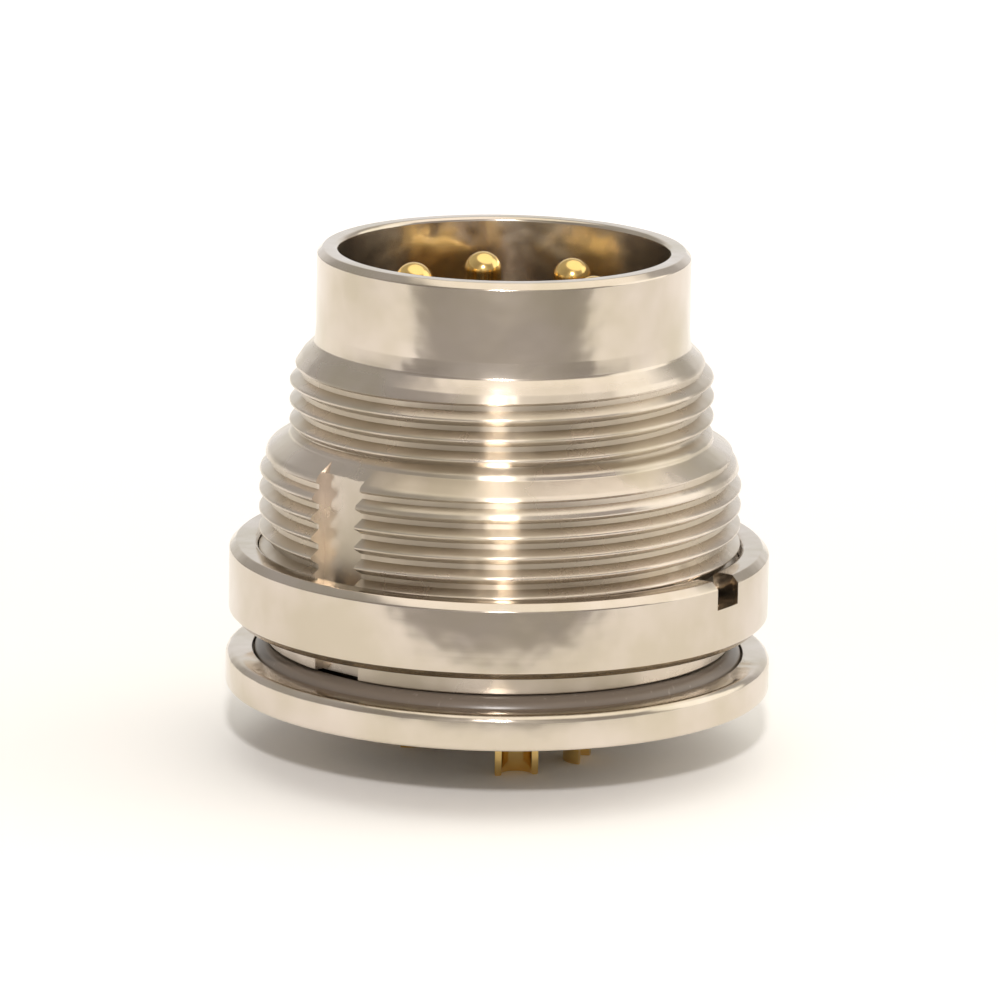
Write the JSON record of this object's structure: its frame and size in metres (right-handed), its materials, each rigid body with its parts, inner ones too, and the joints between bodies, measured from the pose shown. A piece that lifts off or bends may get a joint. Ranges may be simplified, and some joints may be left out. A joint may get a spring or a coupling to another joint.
{
  "type": "panel-mount circular connector",
  "caption": "Male circular panel connector: threaded nickel-plated shell with keyway, slotted ring nut, flange seal, domed gold contacts and solder cups.",
  "frame": {"origin": "centre of the panel face, the top of the flange that bears on the back of the panel", "axes": "+Z along the connector's axis towards the mating plug; -Y through the polarising key and the middle of the gap in the ring of contacts"},
  "size_m": [0.0204, 0.0204, 0.0194],
  "materials": {
    "nickel_shell": "turned brass, bright nickel plated",
    "nickel_nut": "turned brass, satin nickel plated",
    "seal_rubber": "black nitrile rubber, slightly dusty",
    "carrier_plastic": "black moulded thermoplastic",
    "contact_gold": "turned brass, gold plated",
    "ring_steel": "stamped spring steel"
  },
  "bodies": {
    "body": {"shell": "nickel_shell", "panel_seal": "seal_rubber", "carrier_front": "carrier_plastic", "carrier_rear": "carrier_plastic", "carrier_seal": "seal_rubber", "retaining_ring": "ring_steel", "pin_1": "contact_gold", "pin_2": "contact_gold", "pin_3": "contact_gold", "pin_4": "contact_gold", "pin_5": "contact_gold"},
    "nut": {"ring_nut": "nickel_nut"}
  },
  "joints": [
    {"name": "ring_nut_turn", "type": "hinge", "parent": "body", "child": "nut", "pos_m": [0, 0, 0.0028], "axis": [0, 0, 1], "range_deg": [-600, 2808]}
  ]
}
